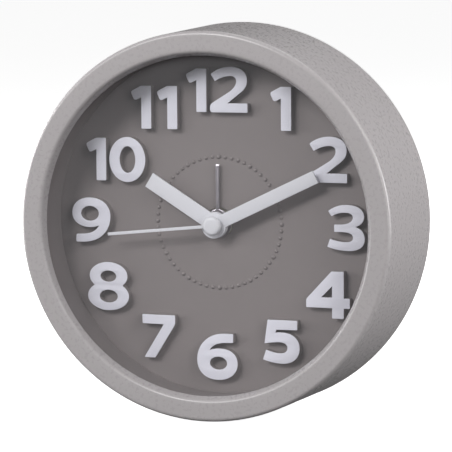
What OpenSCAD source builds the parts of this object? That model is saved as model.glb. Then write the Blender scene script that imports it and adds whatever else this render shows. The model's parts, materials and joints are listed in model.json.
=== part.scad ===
// Round bedside quartz alarm clock with a deep dial, raised numerals and four hands.
// Clock frame used by every module: the axis of the front ring is the Y axis, the flat face
// of the ring is the plane y = 0, +Y runs towards the back, +Z is up and +X is to the right
// of someone who reads the time. clk() moves that frame to the part's own origin, which is
// the middle of the ground under the feet. mov() does the same for the hands and the
// movement, whose axis lies axis_drop lower.

/* [Case] */
// Outside radius of the front ring
front_r = 60; // [60:0.5:63]
// How much larger the radius is at the back edge than at the front ring
flare = 1.7; // [1:0.1:2.5]
// Depth of the case shell from the front ring to the back edge
case_depth = 39.7; // [39:0.1:40]
// Radius of the opening inside the front ring
lip_r = 52.4; // [51.5:0.1:52.8]
// Rounding of the outer front edge
front_round = 1.3; // [0.6:0.1:1.8]
// Height of the rubber feet below the flat underside
foot_proud = 0.4; // [0.3:0.1:0.8]

/* [Dial] */
// Height of the raised numerals above the dial, with their white faces
numeral_raise = 2.6; // [1:0.1:2.6]
// Size of the numerals against their drawn height of 13.5 mm
numeral_scale = 1; // [0.8:0.05:1]
// Radius of the ring of dots
dot_ring_r = 20.5; // [15:0.5:22]
// Number of dots in the ring
dot_count = 60; // [12:12:60]

/* [Hands] */
// Length of the hour hand from the axis
hour_len = 25.8; // [18:0.2:27]
// Width of the hour hand
hour_w = 5.0; // [3:0.1:5.5]
// Length of the minute hand from the axis
minute_len = 36.7; // [28:0.1:45]
// Width of the minute hand
minute_w = 4.1; // [2:0.1:4.5]
// Length of the second hand from the axis
second_len = 34.9; // [28:0.1:45]
// Width of the second hand
second_w = 0.95; // [0.6:0.05:1.4]
// Length of the alarm hand from the axis
alarm_len = 18.7; // [12:0.1:24]
// Width of the alarm hand
alarm_w = 1.5; // [1:0.1:2]
// Direction of the hour hand, clockwise from 12
hour_deg = 301.7; // [0:0.1:360]
// Direction of the minute hand, clockwise from 12
minute_deg = 64.3; // [0:0.1:360]
// Direction of the second hand, clockwise from 12
second_deg = 264.1; // [0:0.1:360]
// Direction of the alarm hand, clockwise from 12
alarm_deg = 0; // [0:0.1:360]

// How far the hands' axis lies below the centre of the front ring
axis_drop = 0.45; // [0:0.05:0.5]

/* [Back] */
// Radius of the two setting knobs
knob_r = 5.4; // [4:0.1:6]
// Height of the setting knobs behind the back edge
knob_h = 4.5; // [3:0.1:6]
// Travel of the alarm switch
switch_travel = 4; // [3:0.5:4]

/* [Hidden] */
$fn = 96;

full_depth = case_depth + knob_h;
ground = 59.9 + foot_proud;      // the ground is this far below the ring's axis
dial_y = 16.8;                   // front face of the dial
face_y = dial_y - numeral_raise; // front of the white numeral faces
cov_y = case_depth - 2.5;        // inner face of the back cover
out_y = case_depth - 0.5;        // outer face of the back cover

// Places of the arbors, [x, z] from the hands' axis
third_at = 9.0 * [cos(110), sin(110)];
fifth_at = 9.0 * [cos(30), sin(30)];
rotor_at = fifth_at + 8.75 * [cos(40), sin(40)];
motion_at = [-12, 0];
aset_at = 12.5 * [cos(-20), sin(-20)];
coil_x = 24.5;
coil_y = 28.3;
sound_at = [-32.5, 14];
switch_at = [-34.5, -5];
cell_z = -22.8;
cell_y = 28.4;
cover_screw_at = [for (a = [45, 135, 225, 315]) 49 * [cos(a), sin(a)]];
ear_at = [[-25, 33.5], [18, 33.5], [35.5, 0]];

case_c = [0.64, 0.63, 0.62];
dial_c = [0.48, 0.45, 0.44];
white_c = [0.88, 0.88, 0.9];
steel_c = [0.7, 0.7, 0.72];
brass_c = [0.78, 0.62, 0.3];
natural_c = [0.86, 0.85, 0.8];
dark_c = [0.16, 0.16, 0.17];

// ---------- frame helpers ----------
module clk() translate([0, -full_depth / 2, ground]) children();
// the same, for what hangs on the hands' axis
module mov() translate([0, -full_depth / 2, ground - axis_drop]) children();
module drop() translate([0, 0, -axis_drop]) children();
// a plate drawn as [x, z] seen from the front, from depth y0 to depth y1
module slab(y0, y1) translate([0, y1, 0]) rotate([90, 0, 0]) linear_extrude(y1 - y0) children();
// a profile of [radius, depth] turned about the axis
module turn() rotate([-90, 0, 0]) rotate_extrude($fn = 180) children();
// a rod along Y at p = [x, z]
module rod(p, y0, y1, r) translate([p[0], y0, p[1]]) rotate([-90, 0, 0]) cylinder(h = y1 - y0, r = r, $fn = 48);
module at(p) translate([p[0], 0, p[1]]) children();
module clock_angle(a) rotate([0, a, 0]) children();
module rrect(x0, x1, z0, z1, r) {
  translate([x0 + r, z0]) square([x1 - x0 - 2 * r, z1 - z0]);
  translate([x0, z0 + r]) square([x1 - x0, z1 - z0 - 2 * r]);
  for (x = [x0 + r, x1 - r], z = [z0 + r, z1 - r]) translate([x, z]) circle(r = r, $fn = 32);
}
module box(x0, x1, y0, y1, z0, z1) translate([x0, y0, z0]) cube([x1 - x0, y1 - y0, z1 - z0]);

// ---------- outlines ----------
function bez(a, p, n) = [for (i = [1:n]) let (t = i / n, s = 1 - t)
  [s*s*s*a[0] + 3*s*s*t*p[0] + 3*s*t*t*p[2] + t*t*t*p[4],
   s*s*s*a[1] + 3*s*s*t*p[1] + 3*s*t*t*p[3] + t*t*t*p[5]]];
function tail(q) = [q[len(q) - 2], q[len(q) - 1]];
// a path is a list of corner points [x, y] and curves [c1x, c1y, c2x, c2y, x, y]
function trace(p, n = 7) = [for (i = [0:len(p) - 1]) each (len(p[i]) == 2 ? [p[i]] : bez(tail(p[i - 1]), p[i], n))];
function oval(cx, cy, rx, ry, n = 36) = [for (i = [0:n - 1]) [cx + rx * cos(i * 360 / n), cy + ry * sin(i * 360 / n)]];

one_path = [[3.35, 0], [6.65, 0], [6.65, 13.45], [3.3, 13.45], [0.55, 12.05], [0, 11.75, -0.1, 11.4, 0.15, 10.8],
  [0.75, 9.5], [0.95, 9.1, 1.3, 8.95, 1.75, 9.1], [3.35, 9.85]];
two_path = [[0.9, 0], [12.3, 0], [12.3, 2.85], [5.8, 2.85], [9.3, 5.6], [11.2, 6.9, 12.15, 8.1, 12.15, 9.9],
  [12.15, 12.6, 9.9, 14.1, 6.8, 14.1], [4.3, 14.1, 2.0, 13.3, 0.3, 11.8], [1.7, 9.6], [3.2, 10.6, 4.9, 11.25, 6.8, 11.25],
  [8.0, 11.25, 8.65, 10.6, 8.65, 9.7], [8.65, 8.5, 7.9, 7.5, 6.4, 6.4], [1.2, 3.2], [0.3, 2.6, 0, 2.2, 0, 1.5],
  [0, 0.5, 0.2, 0, 0.9, 0]];
three_path = [[0.4, 12.1], [2.2, 13.5, 4.2, 14.1, 6.4, 14.1], [9.7, 14.1, 11.8, 12.8, 11.8, 10.5],
  [11.8, 9.0, 10.8, 8.0, 9.0, 7.4], [11.0, 6.9, 12.0, 5.6, 12.0, 3.7], [12.0, 1.4, 10.2, 0, 6.8, 0],
  [4.4, 0, 2.2, 0.4, 0.1, 1.1], [1.0, 3.6], [2.8, 3.0, 4.4, 2.7, 5.9, 2.7], [7.5, 2.7, 8.3, 3.2, 8.3, 4.0],
  [8.3, 5.2, 7.2, 5.75, 4.8, 5.75], [2.3, 5.75], [2.3, 8.0], [4.4, 8.05], [6.8, 8.1, 8.25, 9.1, 8.25, 10.3],
  [8.25, 11.2, 7.3, 11.7, 5.8, 11.7], [4.2, 11.7, 2.8, 11.3, 1.5, 10.5]];
four_path = [[0, 3.2], [8.3, 3.2], [8.3, 0], [12.05, 0], [12.05, 3.2], [14, 3.2], [14, 6.3], [12.05, 6.3], [12.05, 14.6],
  [8.1, 14.5], [0.2, 6.0], [0, 5.5]];
five_path = [[1.65, 13.65], [11.3, 13.65], [11.3, 10.7], [4.5, 10.6], [4.2, 9.6], [5.0, 9.75, 5.6, 9.8, 6.3, 9.8],
  [9.7, 9.8, 12.05, 8.0, 12.05, 5.0], [12.05, 2.0, 9.8, 0, 6.4, 0], [4.4, 0, 2.2, 0.4, 0.1, 1.1], [1.15, 4.2],
  [2.8, 3.6, 4.3, 3.25, 5.8, 3.25], [7.3, 3.25, 8.1, 4.1, 8.1, 5.0], [8.1, 6.1, 7.1, 6.7, 5.5, 6.7],
  [4.0, 6.7, 2.3, 6.4, 0.6, 6.15]];
six_path = [[12, 14.7], [12, 11.9], [9.0, 11.8], [6.8, 11.6, 5.2, 11.0, 4.1, 9.25], [5.3, 9.8, 6.4, 9.95, 7.8, 9.95],
  [11.2, 9.95, 13.45, 8.2, 13.45, 5.3], [13.45, 2.2, 10.8, 0, 6.9, 0], [2.6, 0, 0, 2.4, 0, 6.2],
  [0, 11.2, 4.0, 14.7, 9.0, 14.7]];
seven_path = [[0, 13.7], [11.1, 13.7], [11.1, 11.2], [10.8, 10.4], [4.3, 0], [0.6, 0], [7.25, 10.75], [0.1, 10.8]];
nine_path = [[6.1, 14.2], [10.3, 14.2, 13.1, 11.8, 13.1, 8.4], [13.1, 3.4, 9.2, 0, 3.4, 0], [1.6, 0],
  [1.3, 0.1, 1.2, 0.6, 1.25, 1.0], [1.4, 2.3], [1.5, 2.5, 1.7, 2.5, 1.9, 2.5], [4.0, 2.6], [6.4, 2.7, 8.2, 3.7, 9.2, 5.35],
  [8.0, 4.9, 7.0, 4.75, 5.9, 4.75], [2.4, 4.75, 0, 6.6, 0, 9.3], [0, 12.2, 2.6, 14.2, 6.1, 14.2]];

module digit(d) offset(r = 0.28, $fn = 16) offset(delta = -0.28) {
  if (d == 0) difference() { polygon(oval(6.1, 7.1, 6.1, 7.1)); polygon(oval(6.2, 7.1, 2.65, 4.2)); }
  if (d == 1) polygon(trace(one_path));
  if (d == 2) polygon(trace(two_path));
  if (d == 3) polygon(trace(three_path));
  if (d == 4) difference() { polygon(four_path); polygon([[8.3, 9.95], [8.3, 6.45], [4.85, 6.45]]); }
  if (d == 5) polygon(trace(five_path));
  if (d == 6) difference() { polygon(trace(six_path)); polygon(oval(7.1, 5.3, 2.85, 2.05)); }
  if (d == 7) polygon(seven_path);
  if (d == 8) difference() {
    union() { polygon(oval(7.0, 4.6, 7.0, 4.6)); polygon(oval(7.1, 11.0, 6.45, 4.4)); }
    polygon(oval(7.1, 4.5, 3.1, 2.05)); polygon(oval(7.05, 10.9, 2.7, 1.8));
  }
  if (d == 9) difference() { polygon(trace(nine_path)); polygon(oval(6.1, 9.15, 3.05, 2.35)); }
}
// [digit, left, bottom] of each raised figure, from the ring's axis
figures = [[1, -9.65, 34.5], [2, -1.85, 34.45], [1, 17.9, 29.1], [2, 30.05, 13.5], [3, 35.9, -7.2], [4, 29.2, -28.2],
  [5, 15.0, -43.1], [6, -6.7, -49.3], [7, -25.1, -43.3], [8, -43.6, -28.9], [9, -48.7, -7.3], [1, -43.5, 12.45],
  [0, -35.75, 12.1], [1, -28.05, 29.0], [1, -19.35, 29.0]];
module all_figures() for (g = figures) translate([g[1], g[2]]) scale(numeral_scale) digit(g[0]);

// a wheel outline of z teeth on module m, with a tooth at the angle a clockwise from 12
function teeth(z, m, a = 0) = let (r = z * m / 2, s = 180 / z)
  [for (i = [0:z - 1], q = [[r - 1.05 * m, -0.56], [r, -0.42], [r + 0.7 * m, -0.2], [r + 0.7 * m, 0.2], [r, 0.42], [r - 1.05 * m, 0.56]])
    let (t = a + i * 360 / z + q[1] * s) [q[0] * sin(t), q[0] * cos(t)]];
module gear(p, y0, y1, z, m, a = 0) at(p) slab(y0, y1) polygon(teeth(z, m, a));
// clockwise direction from 12 of the point q seen from p
function bearing(p, q) = atan2(q[0] - p[0], q[1] - p[1]);

// modules of the meshing pairs, from their centre distances
m_centre = 2 * 9.0 / (64 + 8);
m_third = 2 * 9.0 / (60 + 8);
m_second = 2 * 9.0 / (50 + 10);
m_fifth = 2 * 8.75 / (60 + 10);
m_cannon = 2 * 12 / (12 + 36);
m_hour = 2 * 12 / (40 + 10);
m_alarm = 2 * 12.5 / (40 + 10);

// ---------- case, lens, dial ----------
function case_outer(y) = front_r + flare * (y - front_round) / (case_depth - front_round);
module case() color(case_c) clk() difference() {
  turn() polygon(concat(
    [[lip_r, 2.8], [lip_r + 0.15, 2.1], [lip_r + 0.5, 1.2], [lip_r + 0.85, 0.55], [lip_r + 1.3, 0.12], [lip_r + 1.8, 0]],
    [for (i = [0:8]) [front_r - front_round * (1 - sin(i * 11.25)), front_round * (1 - cos(i * 11.25))]],
    [[case_outer(case_depth - 0.4), case_depth - 0.4]],
    [for (i = [1:4]) [front_r + flare - 0.4 + 0.4 * cos(i * 22.5), case_depth - 0.4 + 0.4 * sin(i * 22.5)]],
    [[59.3, case_depth], [59.3, case_depth - 3], [57.6, case_depth - 3], [57.6, 4.7], [56.1, 4.7], [56.1, 2.8]]));
  box(-20, 20, 3, case_depth + 1, -front_r - 8, -59.9);
  for (p = foot_at) translate([p[0], p[1], -60.5]) cylinder(h = 1.4, r = 2.5, $fn = 48);
}
foot_at = [[-5.5, 12.5], [5.5, 12.5], [-11, 33], [11, 33]];
module feet() color(dark_c) clk() for (p = foot_at)
  translate([p[0], p[1], -59.9 - foot_proud]) cylinder(h = foot_proud + 0.8, r = 2.45, $fn = 48);
module lens() color([0.9, 0.95, 1, 0.25]) clk() rod([0, 0], 2.85, 4.45, 56);

module dial() color(dial_c) clk() difference() {
  union() {
    turn() polygon([[0, dial_y], [57.3, dial_y], [57.3, dial_y + 1.6], [0, dial_y + 1.6]]);
    for (i = [0:dot_count - 1]) let (big = i % (dot_count / 12) == 0)
      clock_angle(i * 360 / dot_count) translate([0, dial_y + (big ? 0.22 : 0.14), dot_ring_r]) sphere(r = big ? 0.8 : 0.66, $fn = 24);
    for (p = cover_screw_at) rod(p, dial_y + 1, cov_y - 1.3, 3.2);
    drop() for (p = ear_at) rod(p, dial_y + 1, 22, 3);
  }
  drop() rod([0, 0], 10, 20, 4.25);
  for (p = cover_screw_at) rod(p, 26, cov_y, 1.15);
  drop() for (p = ear_at) rod(p, 19.4, 23, 1.05);
}
// cylindrical wall between the lens and the dial
module dial_ring() color(dial_c) clk() turn() polygon([[53.8, dial_y], [53.3, 4.5], [55.3, 4.5], [55.5, 6], [55.6, dial_y]]);
// raised bodies of the numerals, seated on the dial
module numeral_blocks() color(dial_c) clk() slab(face_y + 0.2, dial_y) all_figures();
module numeral_faces() color(white_c) clk() slab(face_y, face_y + 0.2) all_figures();

// ---------- hands ----------
module hour_hand() color(white_c) mov() difference() {
  clock_angle(hour_deg) slab(13.2, 13.9) { translate([-hour_w / 2, 0]) square([hour_w, hour_len]); circle(r = 4.05, $fn = 64); }
  rod([0, 0], 13, 16, 2.6);
}
module minute_hand() color(white_c) mov() difference() {
  union() {
    clock_angle(minute_deg) slab(11.6, 12.3) { translate([-minute_w / 2, 0]) square([minute_w, minute_len]); circle(r = 4.05, $fn = 64); }
    rod([0, 0], 11.1, 11.8, 2.4);
  }
  rod([0, 0], 11, 14, 1.7);
}
module second_bar(w) { translate([-w / 2, 0]) square([w, second_len]); circle(r = 1.9, $fn = 48); }
module second_hand() color(white_c) mov() difference() {
  clock_angle(second_deg) slab(9.8, 10.2) second_bar(second_w);
  rod([0, 0], 9, 12, 0.8);
}
module centre_cap() color(white_c) mov() difference() {
  turn() polygon([[0, 9.2], [1.8, 9.23], [2.3, 9.33], [2.65, 9.52], [2.87, 9.8], [2.95, 10.15], [2.95, 10.7], [0, 10.7]]);
  rod([0, 0], 9.75, 12, 0.8);
  clock_angle(second_deg) slab(9.8, 12) second_bar(second_w);
}
module alarm_hand() color(steel_c) mov() difference() {
  union() {
    clock_angle(alarm_deg) slab(15.5, 15.8) {
      polygon([[-alarm_w / 2, 0], [-alarm_w / 2, alarm_len - 0.3], [-alarm_w / 2 + 0.3, alarm_len], [alarm_w / 2 - 0.3, alarm_len],
        [alarm_w / 2, alarm_len - 0.3], [alarm_w / 2, 0]]);
      circle(r = 4.4, $fn = 64);
    }
    clock_angle(alarm_deg) slab(15.2, 15.5) translate([-0.15, 4]) square([0.3, alarm_len - 5]);
    rod([0, 0], 15.8, 16.4, 4.1);
  }
  rod([0, 0], 15, 17, 3.5);
}

// ---------- movement ----------
module movement_outline(g = 0) rrect(-45 + g, 31 - g, -13.6 + g, 29 - g, 3 - g);
module movement_front() color(natural_c) mov() difference() {
  union() {
    slab(18.6, 20.2) movement_outline();
    slab(20.2, 26) difference() { movement_outline(); movement_outline(1.2); }
    rod([0, 0], 16.6, 18.7, 4.2);
    slab(22, 23.6) difference() {
      union() {
        for (p = ear_at) translate(p) circle(r = 3.2, $fn = 32);
        translate([-28.2, 27]) square([6.4, 6.5]);
        translate([14.8, 27]) square([6.4, 6.5]);
        translate([29, -3.2]) square([6.5, 6.4]);
      }
      movement_outline(1.2);
    }
    for (p = [[-14, 13], [14.5, 3], [17, 16]]) rod(p, 20, 24.8, 1.5);
    rod([2, -11.9], 20, 24.8, 1);
    for (p = [[-41.2, -9.2], [-41.2, 24.2], [-24.3, 24.2], [-30, -9.2]]) { rod(p, 20, 22, 1.5); rod(p, 21, 23.5, 0.75); }
  }
  rod([0, 0], 16, 21, 3.56);
  rod(motion_at, 19.2, 21, 0.82);
  rod(aset_at, 19.2, 21, 0.82);
  for (p = ear_at) rod(p, 21, 25, 1.2);
}
module sound_holes(y0, y1, n) for (k = [0:n]) for (i = [0:max(0, 6 * k - 1)])
  rod(sound_at + k * 3.1 * [cos(i * 60 / max(k, 1)), sin(i * 60 / max(k, 1))], y0, y1, 0.9);
module switch_slot(y0, y1) box(switch_at[0] - 1.8, switch_at[0] + 1.8 + switch_travel, y0, y1, switch_at[1] - 1.6, switch_at[1] + 1.6);
module strip_notches(z0, z1) for (x = [-27.3, 27.3]) box(x - 0.6, x + 0.6, 28.4, 31.6, z0, z1);
module movement_back() color(natural_c) mov() difference() {
  union() {
    slab(33, 34.5) movement_outline();
    slab(26, 33) difference() { movement_outline(); movement_outline(1.2); }
    for (p = [[0, 0], third_at, fifth_at, rotor_at]) rod(p, 32.4, 33.2, 1.6);
  }
  rod([0, 0], 32, 33.9, 0.52);
  for (p = [third_at, fifth_at, rotor_at]) rod(p, 32, 33.9, 0.5);
  rod(motion_at, 32, 35, 0.85);
  rod(aset_at, 32, 35, 0.85);
  sound_holes(32, 35, 1);
  switch_slot(32, 35);
  strip_notches(-14, -12);
}
module middle_plate() color(natural_c) mov() difference() {
  union() {
    slab(24.8, 25.6) rrect(-18, 19, -11.8, 18.5, 2);
    for (p = [[17.3, 17], [17.6, 0.6]]) { rod(p, 25, 27.1, 1.4); rod(p, 26, 28.2, 0.8); }
  }
  rod([0, 0], 24, 26, 1.8);
  rod(motion_at, 24, 26, 0.85);
  rod(aset_at, 24, 26, 0.85);
  for (p = [third_at, fifth_at, rotor_at]) rod(p, 25, 26, 0.5);
}
// minute arbor: cannon pinion in front of the middle plate and the centre wheel behind it
module centre_wheel() color(brass_c) mov() difference() {
  union() {
    gear([0, 0], 26, 26.8, 64, m_centre, bearing([0, 0], third_at));
    gear([0, 0], 23.3, 24.6, 12, m_cannon, bearing([0, 0], motion_at));
    rod([0, 0], 11.1, 26.4, 1.7);
  }
  rod([0, 0], 11, 28, 0.9);
}
module third_wheel() color(brass_c) mov() {
  gear(third_at, 25.8, 27.6, 8, m_centre, bearing(third_at, [0, 0]) + 180 / 8);
  gear(third_at, 27.4, 28.2, 60, m_third, bearing(third_at, [0, 0]));
  rod(third_at, 25.1, 33.6, 0.45);
}
module second_wheel() color(brass_c) mov() {
  gear([0, 0], 28.9, 29.7, 50, m_second, bearing([0, 0], fifth_at));
  gear([0, 0], 27.1, 29, 8, m_third, bearing([0, 0], third_at) + 180 / 8);
  rod([0, 0], 9.8, 27.5, 0.8);
  rod([0, 0], 27, 33.6, 0.47);
}
module fifth_wheel() color(natural_c) mov() {
  gear(fifth_at, 28.7, 30.6, 10, m_second, bearing(fifth_at, [0, 0]) + 180 / 10);
  gear(fifth_at, 30.4, 31.2, 60, m_fifth, bearing(fifth_at, rotor_at));
  rod(fifth_at, 25.1, 33.6, 0.45);
}
module rotor_pinion() color(natural_c) mov() {
  gear(rotor_at, 30.2, 31.4, 10, m_fifth, bearing(rotor_at, fifth_at) + 180 / 10);
  rod(rotor_at, 25.1, 33.6, 0.45);
}
module rotor_magnet() color(dark_c) mov() difference() {
  rod(rotor_at, 26, 29, 3);
  rod(rotor_at, 25, 30, 0.45);
}
module stator() color(steel_c) mov() difference() {
  slab(27.1, 27.9) {
    translate(rotor_at) circle(r = 5.2, $fn = 64);
    polygon([[10.5, 12], [18.3, 12], [19.5, 21.5], [28, 21.5], [28, 26], [15.6, 26]]);
    polygon([[11, 9], [17.8, 9], [19.5, 2.5], [28, 2.5], [28, -2], [15.8, -2]]);
  }
  rod(rotor_at, 26, 29, 3.35);
  for (p = [[17.3, 17], [17.6, 0.6]]) rod(p, 26, 29, 0.82);
}
module coil_core() color(steel_c) mov() box(coil_x - 1.5, coil_x + 1.5, 27.9, 28.7, -1.5, 25.5);
module coil_bobbin() color(natural_c) mov() translate([coil_x, coil_y, 0]) difference() {
  union() {
    translate([0, 0, 2.9]) cylinder(h = 18.2, r = 2.5, $fn = 48);
    for (z = [2.9, 20.1]) translate([0, 0, z]) cylinder(h = 1, r = 4.3, $fn = 48);
  }
  translate([-1.6, -0.5, 0]) cube([3.2, 1, 30]);
}
module coil_winding() color([0.72, 0.36, 0.16]) mov() translate([coil_x, coil_y, 3.95]) difference() {
  cylinder(h = 16.1, r = 3.95, $fn = 48);
  translate([0, 0, -1]) cylinder(h = 20, r = 2.55, $fn = 48);
}
module motion_wheel() color(natural_c) mov() {
  gear(motion_at, 22.2, 23.7, 10, m_hour, bearing(motion_at, [0, 0]) + 180 / 10);
  gear(motion_at, 23.5, 24.3, 36, m_cannon, bearing(motion_at, [0, 0]) + 180 / 36);
  rod(motion_at, 19.3, full_depth - 1.2, 0.8);
}
module hour_wheel() color(natural_c) mov() difference() {
  union() {
    gear([0, 0], 22.4, 23.2, 40, m_hour, bearing([0, 0], motion_at));
    rod([0, 0], 13.2, 22.6, 2.6);
  }
  rod([0, 0], 13, 24, 1.8);
}
module alarm_wheel() color(natural_c) mov() difference() {
  union() {
    gear([0, 0], 20.5, 21.5, 40, m_alarm, bearing([0, 0], aset_at));
    rod([0, 0], 15.5, 20.7, 3.5);
  }
  rod([0, 0], 14, 22, 2.7);
}
module alarm_arbor() color(natural_c) mov() {
  gear(aset_at, 20.4, 21.7, 10, m_alarm, bearing(aset_at, [0, 0]) + 180 / 10);
  rod(aset_at, 19.3, full_depth - 1.2, 0.8);
}

// ---------- electrics ----------
module circuit_board() color([0.15, 0.36, 0.2]) mov() difference() {
  slab(22, 23) translate([-43, -11]) square([20.5, 37]);
  for (p = [[-41.2, -9.2], [-41.2, 24.2], [-24.3, 24.2], [-30, -9.2]]) rod(p, 21, 24, 0.8);
}
module chip_cover() color(dark_c) mov() at([-38.5, 3]) turn_small() polygon([[0, 0], [3, 0], [2.8, 0.5], [2.2, 0.9], [1.2, 1.1], [0, 1.15]]);
module turn_small() translate([0, 23, 0]) rotate([-90, 0, 0]) rotate_extrude($fn = 48) children();
module quartz_crystal() color(steel_c) mov() translate([-25.5, 24, 4]) {
  cylinder(h = 6, r = 1, $fn = 32);
  for (x = [-0.35, 0.35]) translate([x, -0.4, -1.6]) cylinder(h = 2, r = 0.15, $fn = 16);
}
module sounder() color(dark_c) mov() difference() {
  rod(sound_at, 27.5, 32.8, 9.5);
  rod(sound_at, 30.5, 33, 8.3);
}
module sounder_contacts() color(brass_c) mov() for (p = [[-36.5, 12], [-28.5, 12]]) { rod(p, 23, 23.8, 1); rod(p, 23.6, 27.5, 0.5); }
// flat leaf that rides on the alarm wheel
module alarm_leaf() color(brass_c) mov() {
  box(-24.6, -8.2, 21.75, 21.95, -6.4, -4.6);
  box(-28, -24.4, 21.75, 22, -6.4, -4.6);
}
module positive_contact() color(steel_c) mov() {
  box(25.25, 25.65, 22, 34, -27, -18.6);
  box(25.25, 27.5, 21.6, 22, -27, -18.6);
  box(27.1, 27.5, 21.6, 33, -27, -18.6);
  box(27.1, 27.5, 29, 31, -18.8, -11.9);
  box(-24.4, 27.5, 29, 31, -12.3, -11.9);
  box(-24.4, -24, 23, 31, -12.3, -9.6);
}
// conical battery spring: turns of round wire that widen towards the wall
spring_n = 16;
function spring_c(i) = let (a = i * 360 / spring_n, k = i / (spring_n * 3)) [-25.45 - 1.5 * k, (1.8 + 2.2 * k) * cos(a), (1.8 + 2.2 * k) * sin(a)];
function spring_ring(i) = let (c = spring_c(i), a = i * 360 / spring_n) [for (j = [0:5])
  [c[0] + 0.2 * cos(j * 60), cell_y + c[1] + 0.2 * sin(j * 60) * cos(a), cell_z + c[2] + 0.2 * sin(j * 60) * sin(a)]];
module battery_spring() let (n = spring_n * 3) polyhedron(
  points = [for (i = [0:n]) each spring_ring(i)],
  faces = concat([[for (j = [0:5]) j]],
    [for (i = [0:n - 1], j = [0:5]) [i * 6 + j, (i + 1) * 6 + j, (i + 1) * 6 + (j + 1) % 6, i * 6 + (j + 1) % 6]],
    [[for (j = [5:-1:0]) n * 6 + j]]));
module negative_contact() color(steel_c) mov() {
  battery_spring();
  box(-27.5, -27.05, 22, 34, -28.6, -17);
  box(-27.5, -27.1, 29, 31, -17.2, -9.6);
  box(-27.5, -27.1, 23, 31, -12, -9.6);
}
module battery_cell() color([0.2, 0.22, 0.24]) mov() translate([0, cell_y, cell_z]) rotate([0, 90, 0]) {
  translate([0, 0, -25.2]) cylinder(h = 49.4, r = 7.2, $fn = 96);
  translate([0, 0, 24]) cylinder(h = 1.25, r = 2.7, $fn = 48);
}

// ---------- back ----------
hinge_y = out_y - 0.85;
hinge_z = -30.2;
module back_cover() color(case_c) clk() difference() {
  union() {
    turn() polygon([[0, cov_y], [56, cov_y], [56, cov_y - 1.8], [57.3, cov_y - 1.8], [57.3, cov_y - 0.4], [59.1, cov_y - 0.4],
      [59.1, out_y - 0.5], [58.6, out_y], [0, out_y]]);
    drop() box(-28.7, 28.7, 19.6, cov_y + 0.2, -31.6, -14);
    for (p = cover_screw_at) rod(p, cov_y - 1.25, out_y - 0.2, 4);
  }
  for (p = cover_screw_at) { rod(p, 30, 40, 1.4); rod(p, cov_y + 0.1, out_y + 1, 2.9); }
  drop() {
    box(-27.5, 27.5, 20.8, out_y + 1, -30.4, -15.2);
    box(-28, 28, cov_y + 0.4, out_y + 1, -31.15, -14.4);
    box(-6, 6, cov_y + 0.4, out_y + 1, -15, -12.6);
    translate([-29, hinge_y, hinge_z]) rotate([0, 90, 0]) cylinder(h = 58, r = 0.55, $fn = 32);
    rod(motion_at, 35, out_y + 1, 2.8);
    rod(aset_at, 35, out_y + 1, 2.8);
    switch_slot(35, out_y + 1);
    box(switch_at[0] - 3.4, switch_at[0] + 3.4 + switch_travel, out_y - 0.9, out_y + 1, switch_at[1] - 2.8, switch_at[1] + 2.8);
    sound_holes(35, out_y + 1, 2);
    strip_notches(-15.4, -13.8);
  }
}
// lid with a round lower edge that turns on two small pivots
module battery_door() color(case_c) mov() difference() {
  union() {
    box(-27.8, 27.8, cov_y + 0.4, out_y, hinge_z, -14.6);
    translate([-27.8, hinge_y, hinge_z]) rotate([0, 90, 0]) cylinder(h = 55.6, r = 0.72, $fn = 48);
    translate([-28.9, hinge_y, hinge_z]) rotate([0, 90, 0]) cylinder(h = 57.8, r = 0.5, $fn = 32);
    box(-5.8, 5.8, cov_y + 0.8, out_y, -14.8, -13.2);
  }
  translate([0, out_y + 1.6, -16.5]) rotate([0, 90, 0]) translate([0, 0, -5]) cylinder(h = 10, r = 2.4, $fn = 48);
  for (z = [-27.5, -25.5, -23.5, -21.5]) box(-9, 9, out_y - 0.4, out_y + 1, z - 0.4, z + 0.4);
}
module knob(p) difference() {
  union() {
    rod(p, cov_y - 0.6, case_depth + 0.2, 2.6);
    at(p) translate([0, case_depth, 0]) rotate([-90, 0, 0]) rotate_extrude($fn = 96)
      polygon([[0, 0], [knob_r - 0.3, 0], [knob_r, 0.3], [knob_r, knob_h - 0.7], [knob_r - 0.7, knob_h], [0, knob_h]]);
  }
  rod(p, 30, full_depth - 1.2, 0.8);
  for (i = [0:23]) at(p) clock_angle(i * 15) translate([0, case_depth + 0.5, knob_r + 0.35]) rotate([-90, 0, 0]) cylinder(h = knob_h + 1, r = 0.65, $fn = 24);
}
module time_knob() color(case_c) mov() knob(motion_at);
module alarm_knob() color(case_c) mov() knob(aset_at);
module alarm_switch() color(dark_c) mov() translate([switch_at[0], 0, switch_at[1]]) {
  box(-1.5, 1.5, 32, out_y + 1.2, -1.3, 1.3);
  box(-3.2, 3.2, 31.4, 32.8, -2.6, 2.6);
  box(-1, 1, 23.4, 31.6, -1, 1);
}
module cover_screws() color(steel_c) clk() for (p = cover_screw_at) difference() {
  union() { rod(p, 27, cov_y + 0.3, 1.1); rod(p, cov_y + 0.15, cov_y + 1.4, 2.6); }
  cross_slot(p, cov_y + 0.7, cov_y + 2, 3);
}
module movement_screws() color(steel_c) mov() for (p = ear_at) difference() {
  union() { rod(p, 19.6, 23.8, 1); rod(p, 23.6, 24.8, 2); }
  cross_slot(p, 24.2, 25.2, 2.2);
}
module cross_slot(p, y0, y1, w) at(p) for (a = [0, 90]) clock_angle(a) box(-w / 2, w / 2, y0, y1, -0.3, 0.3);

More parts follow.
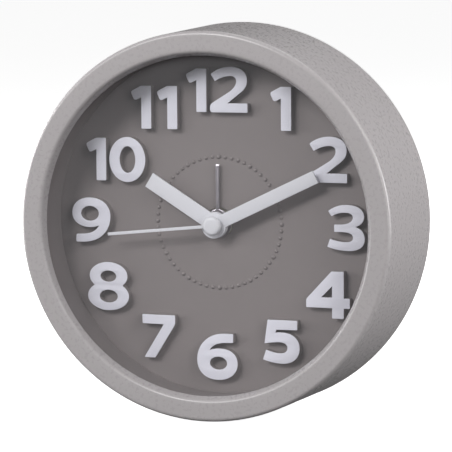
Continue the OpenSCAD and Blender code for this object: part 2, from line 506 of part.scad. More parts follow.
case();
lens();
dial();
dial_ring();
numeral_blocks();
numeral_faces();
hour_hand();
minute_hand();
second_hand();
centre_cap();
alarm_hand();
movement_front();
movement_back();
middle_plate();
centre_wheel();
third_wheel();
second_wheel();
fifth_wheel();
rotor_pinion();
rotor_magnet();
stator();
coil_core();
coil_bobbin();
coil_winding();
motion_wheel();
hour_wheel();
alarm_wheel();
alarm_arbor();
circuit_board();
chip_cover();
quartz_crystal();
sounder();
sounder_contacts();
alarm_leaf();
positive_contact();
negative_contact();
battery_cell();
back_cover();
battery_door();
time_knob();
alarm_knob();
alarm_switch();
cover_screws();
movement_screws();
feet();
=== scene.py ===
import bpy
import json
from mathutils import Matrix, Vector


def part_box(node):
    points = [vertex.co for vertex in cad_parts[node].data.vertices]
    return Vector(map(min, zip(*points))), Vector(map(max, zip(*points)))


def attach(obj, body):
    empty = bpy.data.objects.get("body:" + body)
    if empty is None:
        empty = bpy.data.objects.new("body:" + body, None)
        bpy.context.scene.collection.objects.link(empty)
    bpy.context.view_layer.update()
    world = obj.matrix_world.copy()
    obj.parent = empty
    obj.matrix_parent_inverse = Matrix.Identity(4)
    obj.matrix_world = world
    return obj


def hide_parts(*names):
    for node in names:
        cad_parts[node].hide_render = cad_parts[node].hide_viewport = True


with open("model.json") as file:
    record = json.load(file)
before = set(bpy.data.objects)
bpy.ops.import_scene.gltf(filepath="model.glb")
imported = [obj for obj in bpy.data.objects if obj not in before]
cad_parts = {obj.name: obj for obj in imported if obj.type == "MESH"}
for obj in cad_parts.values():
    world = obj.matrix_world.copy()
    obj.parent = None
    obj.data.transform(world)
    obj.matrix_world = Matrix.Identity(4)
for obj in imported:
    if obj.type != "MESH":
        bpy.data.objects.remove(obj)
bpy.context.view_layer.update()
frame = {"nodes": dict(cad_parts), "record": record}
import json
import math
import bpy
import bmesh
from mathutils import Vector, Matrix

NODES = frame["nodes"]
RECORD = frame["record"]

# ------------------------------------------------------------------ the clock's own frame
# L(x, y, z) in millimetres: x to the reader's right, y = depth behind the front ring, z up,
# all counted from the line the hands turn about.
lens_lo, lens_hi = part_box("lens")
case_lo, case_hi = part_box("case")
AX = 0.5 * (lens_lo[0] + lens_hi[0])
AZ = 0.5 * (lens_lo[2] + lens_hi[2])
FY = case_lo[1]
MM = 0.001


def L(x, y, z):
    return Vector((AX + x * MM, FY + y * MM, AZ + z * MM))


def depth(node):
    """(front, back) of a CAD node in millimetres behind the front ring."""
    lo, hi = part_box(node)
    return (lo[1] - FY) / MM, (hi[1] - FY) / MM


def cl(a):
    return math.radians(a)


# the hands and the movement hang on an axis a little below the ring's own
DROP = 0.45


def dropped(me):
    me.transform(Matrix.Translation((0, 0, -DROP * MM)))
    return me


# ------------------------------------------------------------------ material kit
class Mat:
    """A node material with procedural grain, colour variation and bump."""

    def __init__(self, name):
        self.m = bpy.data.materials.new(name)
        self.m.use_nodes = True
        self.nt = self.m.node_tree
        self.nt.nodes.clear()
        self.out = self.nt.nodes.new("ShaderNodeOutputMaterial")
        self.b = self.nt.nodes.new("ShaderNodeBsdfPrincipled")
        self.nt.links.new(self.b.outputs[0], self.out.inputs[0])
        self.tc = self.nt.nodes.new("ShaderNodeTexCoord")

    def n(self, kind, **props):
        x = self.nt.nodes.new(kind)
        for k, v in props.items():
            setattr(x, k, v)
        return x

    def link(self, a, b):
        self.nt.links.new(a, b)

    def noise(self, scale, detail=4.0, rough=0.55, stretch=(1, 1, 1)):
        mp = self.n("ShaderNodeMapping")
        mp.inputs["Scale"].default_value = stretch
        self.link(self.tc.outputs["Object"], mp.inputs[0])
        x = self.n("ShaderNodeTexNoise")
        x.inputs["Scale"].default_value = scale
        x.inputs["Detail"].default_value = detail
        x.inputs["Roughness"].default_value = rough
        self.link(mp.outputs[0], x.inputs["Vector"])
        return x.outputs["Fac"]

    def ramp(self, fac, stops):
        r = self.n("ShaderNodeValToRGB")
        el = r.color_ramp.elements
        while len(el) < len(stops):
            el.new(0.5)
        for e, (p, c) in zip(el, stops):
            e.position = p
            e.color = c if len(c) == 4 else (*c, 1)
        self.link(fac, r.inputs[0])
        return r.outputs[0]

    def remap(self, fac, lo, hi, a, b):
        r = self.n("ShaderNodeMapRange")
        for i, v in zip((1, 2, 3, 4), (lo, hi, a, b)):
            r.inputs[i].default_value = v
        self.link(fac, r.inputs[0])
        return r.outputs[0]

    def mix(self, fac, a, b, mode="MIX"):
        x = self.n("ShaderNodeMix", data_type="RGBA", blend_type=mode)
        for sock, v in ((x.inputs[0], fac), (x.inputs[6], a), (x.inputs[7], b)):
            if hasattr(v, "default_value"):
                self.link(v, sock)
            elif isinstance(v, (int, float)):
                sock.default_value = v
            else:
                sock.default_value = v if len(v) == 4 else (*v, 1)
        return x.outputs[2]

    def bump(self, height, strength, dist, under=None):
        x = self.n("ShaderNodeBump")
        x.inputs["Strength"].default_value = strength
        x.inputs["Distance"].default_value = dist
        self.link(height, x.inputs["Height"])
        if under is not None:
            self.link(under, x.inputs["Normal"])
        return x.outputs[0]

    def edge(self, lo=0.52, hi=0.6):
        """0 on flat and hollow places, 1 along convex edges."""
        g = self.n("ShaderNodeNewGeometry")
        return self.remap(g.outputs["Pointiness"], lo, hi, 0, 1)


def plastic(name, col, rough=0.42, vary=0.05, grain=2600, bump=0.10, ior=1.47, coat=0.0,
            wear=None, mottled=60, spec=0.5, speckle=0.035):
    m = Mat(name)
    big = m.noise(mottled, 3)
    fine = m.noise(grain, 2, 0.5)
    dark = tuple(c * (1 - vary) for c in col)
    light = tuple(min(1, c * (1 + vary)) for c in col)
    c = m.ramp(big, [(0.3, dark), (0.7, light)])
    speck = m.ramp(fine, [(0.35, (1 - speckle,) * 3), (0.65, (1, 1, 1))])
    c = m.mix(1.0, c, speck, "MULTIPLY")
    if wear:
        scuff = m.noise(420, 5, 0.6)
        e = m.n("ShaderNodeMath", operation="MULTIPLY")
        m.link(m.edge(), e.inputs[0])
        m.link(m.remap(scuff, 0.45, 0.65, 0, wear), e.inputs[1])
        c = m.mix(e.outputs[0], c, tuple(min(1, x * 1.25 + 0.02) for x in col))
    m.link(c, m.b.inputs["Base Color"])
    rr = m.remap(m.noise(900, 4), 0.3, 0.7, rough - 0.05, rough + 0.05)
    m.link(rr, m.b.inputs["Roughness"])
    m.b.inputs["IOR"].default_value = ior
    m.b.inputs["Specular IOR Level"].default_value = spec
    m.b.inputs["Coat Weight"].default_value = coat
    m.b.inputs["Coat Roughness"].default_value = 0.12
    m.link(m.bump(fine, bump, 0.00002), m.b.inputs["Normal"])
    return m.m


def metal(name, col, rough=0.3, stretch=(1, 1, 1), grain=1500, bump=0.12, vary=0.1, metallic=1.0):
    m = Mat(name)
    g = m.noise(grain, 3, 0.6, stretch)
    big = m.noise(90, 3)
    c = m.mix(m.remap(g, 0.3, 0.7, 0, 1), tuple(x * (1 - vary) for x in col), col)
    c = m.mix(m.remap(big, 0.4, 0.75, 0, 0.5), c, tuple(x * (1 - 2 * vary) for x in col))
    m.link(c, m.b.inputs["Base Color"])
    m.b.inputs["Metallic"].default_value = metallic
    m.link(m.remap(g, 0.3, 0.7, rough - 0.06, rough + 0.08), m.b.inputs["Roughness"])
    m.link(m.bump(g, bump, 0.00001), m.b.inputs["Normal"])
    return m.m


CASE = (0.366, 0.346, 0.351)
TAUPE = (0.206, 0.182, 0.181)
WHITE = (0.71, 0.706, 0.785)
mats = {
    "case_plastic": plastic("case_plastic", CASE, rough=0.29, vary=0.012, grain=5200, bump=0.015, wear=0.15, speckle=0.01),
    "dial_plastic": plastic("dial_plastic", TAUPE, rough=0.48, vary=0.02, grain=5200, bump=0.04),
    "numeral_white": plastic("numeral_white", WHITE, rough=0.5, vary=0.015, grain=5600, bump=0.03),
    "hand_white": plastic("hand_white", (0.645, 0.645, 0.69), rough=0.45, vary=0.015, grain=5600, bump=0.03),
    "cap_white": plastic("cap_white", (0.66, 0.66, 0.70), rough=0.34, vary=0.02, grain=2800, bump=0.05),
    "silver_paint": metal("silver_paint", (0.40, 0.375, 0.41), rough=0.36, stretch=(6, 6, 0.6), vary=0.12),
    "natural_plastic": plastic("natural_plastic", (0.66, 0.64, 0.56), rough=0.45, vary=0.04),
    "black_plastic": plastic("black_plastic", (0.028, 0.028, 0.03), rough=0.42, vary=0.15, wear=0.4),
    "resin_black": plastic("resin_black", (0.012, 0.012, 0.014), rough=0.15, vary=0.2, coat=0.5),
    "steel": metal("steel", (0.56, 0.56, 0.58), rough=0.32, stretch=(1, 1, 8)),
    "brass": metal("brass", (0.62, 0.42, 0.16), rough=0.28, stretch=(1, 4, 1)),
    "ferrite": plastic("ferrite", (0.04, 0.04, 0.045), rough=0.5, vary=0.2),
    "copper_wire": metal("copper_wire", (0.55, 0.19, 0.07), rough=0.25, stretch=(0.3, 0.3, 8), bump=0.6),
    "board_green": plastic("board_green", (0.015, 0.09, 0.035), rough=0.25, vary=0.15, coat=0.4),
    "cell_wrap": plastic("cell_wrap", (0.04, 0.05, 0.065), rough=0.28, vary=0.1, coat=0.5),
    "rubber_dark": plastic("rubber_dark", (0.022, 0.022, 0.022), rough=0.7, vary=0.15, bump=0.3),
}


def lens_material():
    m = Mat("lens_clear")
    smear = m.noise(45, 4, 0.6)
    m.b.inputs["Base Color"].default_value = (0.5, 0.5, 0.52, 1)
    m.link(m.ramp(smear, [(0.3, (0.44, 0.44, 0.46)), (0.7, (0.52, 0.52, 0.54))]), m.b.inputs["Base Color"])
    m.link(m.remap(smear, 0.3, 0.7, 0.03, 0.07), m.b.inputs["Roughness"])
    m.b.inputs["IOR"].default_value = 1.49
    m.b.inputs["Alpha"].default_value = 0.05
    m.link(m.bump(m.noise(25, 2), 0.05, 0.0001), m.b.inputs["Normal"])
    return m.m


mats["lens_clear"] = lens_material()

# ------------------------------------------------------------------ mesh kit


def finish_mesh(name, mesh, slot, body, stands_for=(), sharp=34, extra=()):
    mesh.validate()
    mesh.shade_smooth()
    mesh.set_sharp_from_angle(angle=cl(sharp))
    ob = bpy.data.objects.new(name, mesh)
    bpy.context.scene.collection.objects.link(ob)
    mesh.materials.append(mats[slot])
    for e in extra:
        mesh.materials.append(mats[e])
    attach(ob, body)
    if stands_for:
        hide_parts(*stands_for)
    return ob


def lathe_bm(profile, seg=240, closed=True, at=(0, 0), bm=None):
    """A closed profile of (radius, depth) in millimetres turned about the Y axis at at = (x, z)."""
    bm = bm or bmesh.new()
    rings = []
    for r, y in profile:
        if r < 1e-6:
            rings.append([bm.verts.new(L(at[0], y, at[1]))])
        else:
            rings.append([bm.verts.new(L(at[0] + r * math.sin(2 * math.pi * i / seg), y, at[1] + r * math.cos(2 * math.pi * i / seg)))
                          for i in range(seg)])
    n = len(rings)
    for k in range(n if closed else n - 1):
        a, b = rings[k], rings[(k + 1) % n]
        if len(a) == 1 and len(b) == 1:
            continue
        for i in range(seg):
            j = (i + 1) % seg
            if len(a) == 1:
                bm.faces.new((a[0], b[i], b[j]))
            elif len(b) == 1:
                bm.faces.new((a[i], b[0], a[j]))
            else:
                bm.faces.new((a[i], b[i], b[j], a[j]))
    return bm


def to_mesh(name, bm):
    bmesh.ops.recalc_face_normals(bm, faces=bm.faces)
    me = bpy.data.meshes.new(name)
    bm.to_mesh(me)
    bm.free()
    return me


def arc(cx, cy, r, a0, a1, n):
    """Points on a circle in the (radius, depth) plane, angles in degrees from +radius towards +depth."""
    return [(cx + r * math.cos(cl(a0 + (a1 - a0) * i / n)), cy + r * math.sin(cl(a0 + (a1 - a0) * i / n))) for i in range(n + 1)]


def bez(p0, p1, p2, p3, n=10):
    out = []
    for i in range(1, n + 1):
        t = i / n
        s = 1 - t
        out.append((s**3 * p0[0] + 3 * s * s * t * p1[0] + 3 * s * t * t * p2[0] + t**3 * p3[0],
                    s**3 * p0[1] + 3 * s * s * t * p1[1] + 3 * s * t * t * p2[1] + t**3 * p3[1]))
    return out


def trace(path):
    pts = []
    for q in path:
        if len(q) == 2:
            pts.append(tuple(q))
        else:
            pts += bez(pts[-1], q[0:2], q[2:4], q[4:6])
    if math.dist(pts[0], pts[-1]) < 1e-6:
        pts.pop()
    return pts


def oval(cx, cy, rx, ry, n=64):
    return [(cx + rx * math.cos(2 * math.pi * i / n), cy + ry * math.sin(2 * math.pi * i / n)) for i in range(n)]


def soften(pts, r=0.3, steps=5, both=False):
    """Rounds the sharp corners of a closed outline. Inner corners stay sharp unless both is set."""
    n = len(pts)
    area = sum(pts[i][0] * pts[(i + 1) % n][1] - pts[(i + 1) % n][0] * pts[i][1] for i in range(n))
    out = []
    for i in range(n):
        a, b, c = Vector(pts[i - 1]), Vector(pts[i]), Vector(pts[(i + 1) % n])
        u, v = (a - b), (c - b)
        lu, lv = u.length, v.length
        if lu < 1e-6 or lv < 1e-6:
            continue
        u, v = u / lu, v / lv
        cross = (b - a).x * (c - b).y - (b - a).y * (c - b).x
        convex = cross * area > 0
        ang = math.acos(max(-1, min(1, u.dot(v))))
        if math.pi - ang < cl(28) or not (convex or both):
            out.append(tuple(b))
            continue
        t = min(r / math.tan(ang / 2), 0.45 * lu, 0.45 * lv)
        p, q = b + u * t, b + v * t
        for k in range(steps + 1):
            w = k / steps
            out.append(tuple((1 - w) ** 2 * p + 2 * w * (1 - w) * b + w * w * q))
    return out


def sheet_mesh(name, loops, y0, y1, bevel=0.0, turn=0.0, res=2):
    """Outlines as [x, z] loops seen from the front (holes are inner loops) from depth y0 to y1, turned clockwise by turn degrees."""
    cu = bpy.data.curves.new(name + "_outline", "CURVE")
    cu.dimensions = "2D"
    cu.fill_mode = "BOTH"
    for lp in loops:
        s = cu.splines.new("POLY")
        s.points.add(len(lp) - 1)
        for p, (x, z) in zip(s.points, lp):
            p.co = (x, z, 0, 1)
        s.use_cyclic_u = True
    cu.extrude = (y1 - y0) / 2 - bevel
    cu.bevel_depth = bevel
    cu.bevel_resolution = res
    cu.offset = -bevel
    tmp = bpy.data.objects.new(name + "_tmp", cu)
    bpy.context.scene.collection.objects.link(tmp)
    dg = bpy.context.evaluated_depsgraph_get()
    me = bpy.data.meshes.new_from_object(tmp.evaluated_get(dg))
    bpy.data.objects.remove(tmp)
    bpy.data.curves.remove(cu)
    me.name = name
    c, s = math.cos(cl(turn)), math.sin(cl(turn))
    mid = (y0 + y1) / 2
    for v in me.vertices:
        x, z, h = v.co.x, v.co.y, v.co.z
        v.co = L(x * c + z * s, mid - h, z * c - x * s)
    bm = bmesh.new()
    bm.from_mesh(me)
    bmesh.ops.remove_doubles(bm, verts=bm.verts, dist=1e-7)
    bmesh.ops.recalc_face_normals(bm, faces=bm.faces)
    bm.to_mesh(me)
    bm.free()
    return me


def join(name, meshes):
    bm = bmesh.new()
    for me in meshes:
        bm.from_mesh(me)
    out = bpy.data.meshes.new(name)
    bm.to_mesh(out)
    bm.free()
    for me in meshes:
        bpy.data.meshes.remove(me)
    return out


# ------------------------------------------------------------------ case
FLAT = -59.9
shell = []
shell += [(52.4, 2.8), (52.42, 2.45), (52.5, 2.2)]
shell += [(52.62, 1.95), (52.8, 1.5)]
shell += bez((52.8, 1.5), (53.05, 0.7), (53.4, 0.06), (54.2, 0.0), 10)
shell += [(55.5, 0.0), (57.2, 0.0), (58.6, 0.0)]
shell += arc(58.7, 1.3, 1.3, -86, 0, 12)
shell += [(60.0 + 1.7 * (y - 1.3) / 38.4, y) for y in (3, 6, 10, 15, 20, 26, 32, 36, 38.8)]
shell += arc(61.3, 39.3, 0.4, 10, 90, 6)
shell += [(60.4, 39.7), (59.3, 39.7), (59.3, 36.7), (57.6, 36.7), (57.6, 4.7), (56.1, 4.7), (56.1, 2.8)]
bm = lathe_bm(shell, 360)
limit = L(0, 0, FLAT).z
for v in bm.verts:
    if v.co.z < limit and v.co.y > L(0, 3, 0).y:
        v.co.z = limit
case = finish_mesh("case_shell", to_mesh("case_shell", bm), "case_plastic", "clock", ["case"], sharp=50)

# ------------------------------------------------------------------ lens
lf, lb = depth("lens")
lens_profile = [(0, lf), (55.6, lf)] + arc(55.6, lf + 0.35, 0.35, -90, 0, 4) + [(55.95, lb - 0.35)] + arc(55.6, lb - 0.35, 0.35, 0, 90, 4) + [(0, lb)]
lens = finish_mesh("lens_disc", to_mesh("lens_disc", lathe_bm(lens_profile, 200, closed=False)), "lens_clear", "clock", ["lens"])

# ------------------------------------------------------------------ dial
DY = 16.8
FACE = depth("numeral_faces")[0]
dial_profile = [(4.7, DY), (12, DY), (30, DY), (57.2, DY), (57.3, DY + 0.1), (57.3, DY + 1.5), (57.2, DY + 1.6), (4.7, DY + 1.6)]
dial = finish_mesh("dial_floor", to_mesh("dial_floor", lathe_bm(dial_profile, 300)), "dial_plastic", "clock", ["dial"])
wall_profile = [(53.8, DY), (53.68, DY - 0.3), (53.62, DY - 0.8), (53.55, 12), (53.42, 8), (53.32, 5.0)] + arc(53.62, 4.8, 0.3, 180, 270, 4)
wall_profile += [(55.0, 4.5), (55.3, 4.8), (55.5, 6), (55.6, DY)]
finish_mesh("dial_wall", to_mesh("dial_wall", lathe_bm(wall_profile, 300)), "dial_plastic", "clock", ["dial_ring"])

bosses = bmesh.new()
for a in (45, 135, 225, 315):
    x, z = 49 * math.cos(cl(a)), 49 * math.sin(cl(a))
    lathe_bm([(1.15, 35.9), (1.15, 26), (0, 26), (0, DY + 1.6), (3.2, DY + 1.6), (3.2, 35.7), (3.0, 35.9)], 48, at=(x, z), bm=bosses)
finish_mesh("dial_bosses", to_mesh("dial_bosses", bosses), "dial_plastic", "clock")

# ring of domes: one at every minute, the twelve at the hours a little larger
domes = bmesh.new()
for i in range(60):
    big = i % 5 == 0
    R, sink = (0.80, 0.22) if big else (0.66, 0.14)
    rim = math.sqrt(R * R - sink * sink)
    a = cl(i * 6)
    cx, cz = 20.5 * math.sin(a), 20.5 * math.cos(a)
    top = domes.verts.new(L(cx, DY + sink - R, cz))
    half = math.asin(rim / R)
    last = None
    for k in range(1, 7):
        t = half * k / 6
        ring = [domes.verts.new(L(cx + R * math.sin(t) * math.cos(2 * math.pi * j / 20), DY + sink - R * math.cos(t),
                                  cz + R * math.sin(t) * math.sin(2 * math.pi * j / 20))) for j in range(20)]
        for j in range(20):
            if last is None:
                domes.faces.new((top, ring[j], ring[(j + 1) % 20]))
            else:
                domes.faces.new((last[j], ring[j], ring[(j + 1) % 20], last[(j + 1) % 20]))
        last = ring
finish_mesh("dial_domes", to_mesh("dial_domes", domes), "dial_plastic", "clock", sharp=80)

# ------------------------------------------------------------------ numerals
ONE = [(3.35, 0), (6.65, 0), (6.65, 13.45), (3.3, 13.45), (0.55, 12.05), (0, 11.75, -0.1, 11.4, 0.15, 10.8),
       (0.75, 9.5), (0.95, 9.1, 1.3, 8.95, 1.75, 9.1), (3.35, 9.85)]
TWO = [(0.9, 0), (12.3, 0), (12.3, 2.85), (5.8, 2.85), (9.3, 5.6), (11.2, 6.9, 12.15, 8.1, 12.15, 9.9),
       (12.15, 12.6, 9.9, 14.1, 6.8, 14.1), (4.3, 14.1, 2.0, 13.3, 0.3, 11.8), (1.7, 9.6), (3.2, 10.6, 4.9, 11.25, 6.8, 11.25),
       (8.0, 11.25, 8.65, 10.6, 8.65, 9.7), (8.65, 8.5, 7.9, 7.5, 6.4, 6.4), (1.2, 3.2), (0.3, 2.6, 0, 2.2, 0, 1.5),
       (0, 0.5, 0.2, 0, 0.9, 0)]
THREE = [(0.4, 12.1), (2.2, 13.5, 4.2, 14.1, 6.4, 14.1), (9.7, 14.1, 11.8, 12.8, 11.8, 10.5),
         (11.8, 9.0, 10.8, 8.0, 9.0, 7.4), (11.0, 6.9, 12.0, 5.6, 12.0, 3.7), (12.0, 1.4, 10.2, 0, 6.8, 0),
         (4.4, 0, 2.2, 0.4, 0.1, 1.1), (1.0, 3.6), (2.8, 3.0, 4.4, 2.7, 5.9, 2.7), (7.5, 2.7, 8.3, 3.2, 8.3, 4.0),
         (8.3, 5.2, 7.2, 5.75, 4.8, 5.75), (2.3, 5.75), (2.3, 8.0), (4.4, 8.05), (6.8, 8.1, 8.25, 9.1, 8.25, 10.3),
         (8.25, 11.2, 7.3, 11.7, 5.8, 11.7), (4.2, 11.7, 2.8, 11.3, 1.5, 10.5)]
FOUR = [(0, 3.2), (8.3, 3.2), (8.3, 0), (12.05, 0), (12.05, 3.2), (14, 3.2), (14, 6.3), (12.05, 6.3), (12.05, 14.6),
        (8.1, 14.5), (0.2, 6.0), (0, 5.5)]
FIVE = [(1.65, 13.65), (11.3, 13.65), (11.3, 10.7), (4.5, 10.6), (4.2, 9.6), (5.0, 9.75, 5.6, 9.8, 6.3, 9.8),
        (9.7, 9.8, 12.05, 8.0, 12.05, 5.0), (12.05, 2.0, 9.8, 0, 6.4, 0), (4.4, 0, 2.2, 0.4, 0.1, 1.1), (1.15, 4.2),
        (2.8, 3.6, 4.3, 3.25, 5.8, 3.25), (7.3, 3.25, 8.1, 4.1, 8.1, 5.0), (8.1, 6.1, 7.1, 6.7, 5.5, 6.7),
        (4.0, 6.7, 2.3, 6.4, 0.6, 6.15)]
SIX = [(12, 14.7), (12, 11.9), (9.0, 11.8), (6.8, 11.6, 5.2, 11.0, 4.1, 9.25), (5.3, 9.8, 6.4, 9.95, 7.8, 9.95),
       (11.2, 9.95, 13.45, 8.2, 13.45, 5.3), (13.45, 2.2, 10.8, 0, 6.9, 0), (2.6, 0, 0, 2.4, 0, 6.2),
       (0, 11.2, 4.0, 14.7, 9.0, 14.7)]
SEVEN = [(0, 13.7), (11.1, 13.7), (11.1, 11.2), (10.8, 10.4), (4.3, 0), (0.6, 0), (7.25, 10.75), (0.1, 10.8)]
NINE = [(6.1, 14.2), (10.3, 14.2, 13.1, 11.8, 13.1, 8.4), (13.1, 3.4, 9.2, 0, 3.4, 0), (1.6, 0),
        (1.3, 0.1, 1.2, 0.6, 1.25, 1.0), (1.4, 2.3), (1.5, 2.5, 1.7, 2.5, 1.9, 2.5), (4.0, 2.6), (6.4, 2.7, 8.2, 3.7, 9.2, 5.35),
        (8.0, 4.9, 7.0, 4.75, 5.9, 4.75), (2.4, 4.75, 0, 6.6, 0, 9.3), (0, 12.2, 2.6, 14.2, 6.1, 14.2)]


def eight():
    """Outline of two stacked ovals, walked as one loop."""
    lo, hi = (7.0, 4.6, 7.0, 4.6), (7.1, 11.0, 6.45, 4.4)

    def inside(p, o):
        return ((p[0] - o[0]) / o[2]) ** 2 + ((p[1] - o[1]) / o[3]) ** 2 < 1

    a = [p for p in oval(*lo, 120)]
    b = [p for p in oval(*hi, 120)]
    # the lower oval from its right crossing, clockwise round the bottom, then the upper oval round the top
    low = [p for p in a if not inside(p, hi)]
    up = [p for p in b if not inside(p, lo)]
    low.sort(key=lambda p: math.atan2(p[0] - lo[0], -(p[1] - lo[1])))
    up.sort(key=lambda p: -math.atan2(p[0] - hi[0], p[1] - hi[1]))
    return low + up


GLYPH = {
    0: [oval(6.1, 7.1, 6.1, 7.1), oval(6.2, 7.1, 2.65, 4.2)],
    1: [trace(ONE)], 2: [trace(TWO)], 3: [trace(THREE)],
    4: [FOUR, [(8.3, 9.95), (8.3, 6.45), (4.85, 6.45)]],
    5: [trace(FIVE)], 6: [trace(SIX), oval(7.1, 5.3, 2.85, 2.05)], 7: [SEVEN],
    8: [eight(), oval(7.1, 4.5, 3.1, 2.05), oval(7.05, 10.9, 2.7, 1.8)],
    9: [trace(NINE), oval(6.1, 9.15, 3.05, 2.35)],
}
FIGURES = [(1, -9.65, 34.5), (2, -1.85, 34.45), (1, 17.9, 29.1), (2, 30.05, 13.5), (3, 35.9, -7.2), (4, 29.2, -28.2),
           (5, 15.0, -43.1), (6, -6.7, -49.3), (7, -25.1, -43.3), (8, -43.6, -28.9), (9, -48.7, -7.3), (1, -43.5, 12.45),
           (0, -35.75, 12.1), (1, -28.05, 29.0), (1, -19.35, 29.0)]
blocks, faces = [], []
for k, (d, x, z) in enumerate(FIGURES):
    loops = [[(x + px, z + pz) for px, pz in (soften(lp, 0.32) if i == 0 else lp)] for i, lp in enumerate(GLYPH[d])]
    blocks.append(sheet_mesh(f"block_{k}", loops, FACE + 0.2, DY))
    faces.append(sheet_mesh(f"face_{k}", loops, FACE, FACE + 0.2, bevel=0.07))
finish_mesh("numeral_bodies", join("numeral_bodies", blocks), "dial_plastic", "clock", ["numeral_blocks"], sharp=40)
finish_mesh("numeral_white_faces", join("numeral_white_faces", faces), "numeral_white", "clock", ["numeral_faces"], sharp=40)

# ------------------------------------------------------------------ hands
HOUR, MINUTE, SECOND, ALARM = 301.7, 64.3, 264.1, 0.0


def ring_loop(r, n=96):
    return oval(0, 0, r, r, n)


def bar_loop(w, length, r_hub, n=72):
    """Bar that grows out of a round hub."""
    h = w / 2
    y = math.sqrt(r_hub * r_hub - h * h)
    a0 = math.asin(h / r_hub)
    pts = [(-h, y), (-h, length), (h, length), (h, y)]
    for i in range(1, n):
        a = a0 + (2 * math.pi - 2 * a0) * i / n
        pts.append((r_hub * math.sin(a), r_hub * math.cos(a)))
    return pts


me = sheet_mesh("hour_bar", [bar_loop(5.0, 25.8, 4.05), ring_loop(2.6)], 13.2, 13.9, bevel=0.12, turn=HOUR)
finish_mesh("hour_hand_bar", dropped(me), "hand_white", "hour", ["hour_hand"])

me = sheet_mesh("minute_bar", [bar_loop(4.1, 36.7, 4.05), ring_loop(1.7)], 11.6, 12.3, bevel=0.12, turn=MINUTE)
finish_mesh("minute_hand_bar", dropped(me), "hand_white", "minute", ["minute_hand"])
boss = lathe_bm([(1.7, 11.7), (1.7, 11.15), (1.75, 11.1), (2.25, 11.1)] + arc(2.25, 11.25, 0.15, -90, 0, 4) + [(2.4, 11.7)], 96)
finish_mesh("minute_hand_boss", dropped(to_mesh("minute_hand_boss", boss)), "hand_white", "minute")

me = sheet_mesh("second_bar", [bar_loop(0.95, 34.9, 1.9), ring_loop(0.8, 48)], 9.8, 10.2, bevel=0.08, turn=SECOND)
finish_mesh("second_hand_bar", dropped(me), "hand_white", "second", ["second_hand"])
cap_profile = [(0, 9.2), (1.2, 9.21), (1.8, 9.23)] + bez((1.8, 9.23), (2.25, 9.27), (2.55, 9.42), (2.74, 9.66), 8)
cap_profile += bez((2.74, 9.66), (2.87, 9.84), (2.95, 10.05), (2.95, 10.3), 6) + [(2.95, 10.6), (2.85, 10.7), (0.8, 10.7), (0.8, 9.75), (0, 9.75)]
finish_mesh("centre_cap_dome", dropped(to_mesh("centre_cap_dome", lathe_bm(cap_profile, 96, closed=False))), "cap_white", "second", ["centre_cap"])


def alarm_mesh():
    """Thin strip folded to a ridge along its middle; near the axis it opens into two arms that meet a ring."""
    bm = bmesh.new()
    back = 15.8

    def strip(rows):
        """rows of (x_left, x_ridge, x_right, z, y_edge, y_ridge)"""
        cols = []
        for xl, xm, xr, z, ye, yr in rows:
            front = [bm.verts.new(L(xl, ye, z)), bm.verts.new(L(xm, yr, z)), bm.verts.new(L(xr, ye, z))]
            rear = [bm.verts.new(L(xl, back, z)), bm.verts.new(L(xr, back, z))]
            cols.append((front, rear))
        for (f0, b0), (f1, b1) in zip(cols, cols[1:]):
            bm.faces.new((f0[0], f0[1], f1[1], f1[0]))
            bm.faces.new((f0[1], f0[2], f1[2], f1[1]))
            bm.faces.new((f0[0], f1[0], b1[0], b0[0]))
            bm.faces.new((f0[2], b0[1], b1[1], f1[2]))
            bm.faces.new((b0[0], b1[0], b1[1], b0[1]))
        for f, b in (cols[0], cols[-1]):
            bm.faces.new((f[0], b[0], b[1], f[2], f[1]))

    strip([(-0.52, 0.12, 0.56, 4.5, 15.52, 15.46), (-0.58, 0.12, 0.6, 5.4, 15.52, 15.45), (-0.62, 0.12, 0.62, 18.05, 15.52, 15.45),
           (-0.6, 0.12, 0.6, 18.25, 15.53, 15.47), (-0.5, 0.1, 0.5, 18.68, 15.68, 15.62)])
    strip([(0.02, 0.13, 0.24, 5.0, 15.47, 15.38), (0.02, 0.13, 0.24, 17.6, 15.47, 15.38), (0.08, 0.13, 0.18, 17.9, 15.47, 15.44)])
    for sgn in (-1, 1):
        rows = [((0.0, 4.95), (0.0, 4.3)), ((1.1, 4.55), (0.9, 4.0)), ((2.2, 3.95), (1.8, 3.4)), ((2.75, 3.4), (2.3, 2.9))]
        prev = None
        for (ox, oz), (ix, iz) in rows:
            mx, mz = (ox + ix) / 2, (oz + iz) / 2
            cur = [bm.verts.new(L(sgn * ox, 15.6, oz)), bm.verts.new(L(sgn * mx, 15.48, mz)), bm.verts.new(L(sgn * ix, 15.62, iz)),
                   bm.verts.new(L(sgn * ix, back, iz)), bm.verts.new(L(sgn * ox, back, oz))]
            if prev:
                for i in range(5):
                    bm.faces.new((prev[i], prev[(i + 1) % 5], cur[(i + 1) % 5], cur[i]))
            else:
                bm.faces.new(cur)
            prev = cur
        bm.faces.new(prev)
    lathe_bm([(3.5, 15.55), (4.3, 15.55), (4.4, 15.65), (4.4, 15.8), (4.1, 15.85), (4.1, 16.4), (3.5, 16.4)], 72, bm=bm)
    return to_mesh("alarm_strip", bm)


finish_mesh("alarm_hand_strip", dropped(alarm_mesh()), "silver_paint", "alarm", ["alarm_hand"], sharp=20)

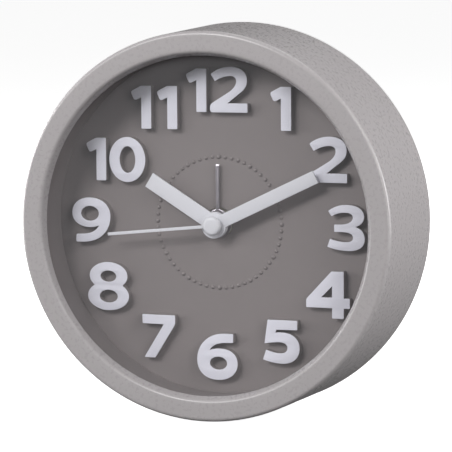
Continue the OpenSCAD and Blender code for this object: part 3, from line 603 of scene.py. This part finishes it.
# ------------------------------------------------------------------ CAD nodes that show as they are
slots = {s["node"]: s["material_slot"] for s in RECORD["subparts"]}
BEVELLED = {"back_cover": 0.25, "battery_door": 0.25, "time_knob": 0.2, "alarm_knob": 0.2, "alarm_switch": 0.2, "feet": 0.2,
            "cover_screws": 0.1, "movement_screws": 0.08, "movement_front": 0.2, "movement_back": 0.2}
for name, ob in NODES.items():
    if ob.hide_render:
        continue
    ob.data.materials.clear()
    ob.data.materials.append(mats[slots[name]])
    ob.data.shade_smooth()
    ob.data.set_sharp_from_angle(angle=cl(30))
    if name in BEVELLED:
        mod = ob.modifiers.new("edge", "BEVEL")
        mod.width = BEVELLED[name] * MM
        mod.segments = 2
        mod.limit_method = "ANGLE"
        mod.angle_limit = cl(40)
        mod.harden_normals = True

# ------------------------------------------------------------------ floor, light, camera
scene = bpy.context.scene


def build_floor():
    bm = bmesh.new()
    s = 30.0
    n = 30
    grid = [[bm.verts.new((-s + 2 * s * i / n, -s + 2 * s * j / n, 0)) for j in range(n + 1)] for i in range(n + 1)]
    for i in range(n):
        for j in range(n):
            bm.faces.new((grid[i][j], grid[i + 1][j], grid[i + 1][j + 1], grid[i][j + 1]))
    me = bpy.data.meshes.new("floor")
    bm.to_mesh(me)
    bm.free()
    ob = bpy.data.objects.new("floor", me)
    scene.collection.objects.link(ob)
    m = Mat("floor_white")
    m.b.inputs["Base Color"].default_value = (0.93, 0.93, 0.93, 1)
    m.b.inputs["Roughness"].default_value = 0.9
    m.b.inputs["Specular IOR Level"].default_value = 0.1
    m.b.inputs["Emission Color"].default_value = (1, 1, 1, 1)
    m.b.inputs["Emission Strength"].default_value = 0.88
    me.materials.append(m.m)
    ob.visible_diffuse = False
    ob.visible_glossy = False


build_floor()


def area(name, at, target, size, power, size_y=None, colour=(1, 1, 1)):
    li = bpy.data.lights.new(name, "AREA")
    li.shape = "RECTANGLE"
    li.size = size
    li.size_y = size_y or size
    li.energy = power
    li.color = colour
    ob = bpy.data.objects.new(name, li)
    scene.collection.objects.link(ob)
    at, target = Vector(at), Vector(target)
    ob.location = at
    ob.rotation_euler = (target - at).to_track_quat("-Z", "Y").to_euler()
    return ob


C = L(0, 15, 0)


def softbox(name, azimuth, elevation, power, size=0.55, away=1.1):
    """Square light aimed at the clock, azimuth 0 in front of the dial and positive to the reader's right."""
    a, e = cl(azimuth), cl(elevation)
    area(name, C + Vector((math.sin(a) * math.cos(e), -math.cos(a) * math.cos(e), math.sin(e))) * away, C, size, power)


softbox("left", -100, 5, 15.2, 0.5)
softbox("right", 112, 15, 5.0, 0.5)
softbox("right_low", 97, 4, 5.6, 0.5)
softbox("front_low", 48, 3, 2.1, 0.5)
softbox("left_front", -62, 5, 5.4, 0.5)
softbox("key", -16, 32, 5.4, 0.28)
softbox("key_side", -34, 24, 3.2, 0.3)
softbox("right_front", 60, 30, 4.7, 0.5)
softbox("back", 180, 50, 2.3, 0.6)

world = bpy.data.worlds.new("studio")
scene.world = world
world.use_nodes = True
bg = world.node_tree.nodes["Background"]
bg.inputs[0].default_value = (1, 1, 1, 1)
bg.inputs[1].default_value = 0.08

cam_data = bpy.data.cameras.new("camera")
cam = bpy.data.objects.new("camera", cam_data)
scene.collection.objects.link(cam)
az, el, roll, dist, fpx, cx, cy = 20.46, 6.43, -0.45, 700.0, 2297.13, 200.31, 228.19
a, e, w = cl(az), cl(el), cl(roll)
d = Vector((math.sin(a) * math.cos(e), -math.cos(a) * math.cos(e), math.sin(e)))
r = Vector((math.cos(a), math.sin(a), 0))
u = d.cross(r)
if u.z < 0:
    u = -u
r2 = r * math.cos(w) + u * math.sin(w)
u2 = -r * math.sin(w) + u * math.cos(w)
pos = L(0, 0, 0) + d * dist * MM
cam.matrix_world = Matrix(((r2.x, u2.x, d.x, pos.x), (r2.y, u2.y, d.y, pos.y), (r2.z, u2.z, d.z, pos.z), (0, 0, 0, 1)))
cam_data.sensor_width = 36.0
cam_data.lens = fpx / 452 * 36.0
cam_data.shift_x = (226 - cx) / 452
cam_data.shift_y = (cy - 226) / 452
cam_data.clip_start = 0.05
cam_data.clip_end = 50
scene.camera = cam
scene.view_settings.view_transform = "Standard"
scene.view_settings.look = "None"
scene.view_settings.exposure = 0.0
scene.view_settings.gamma = 1.0
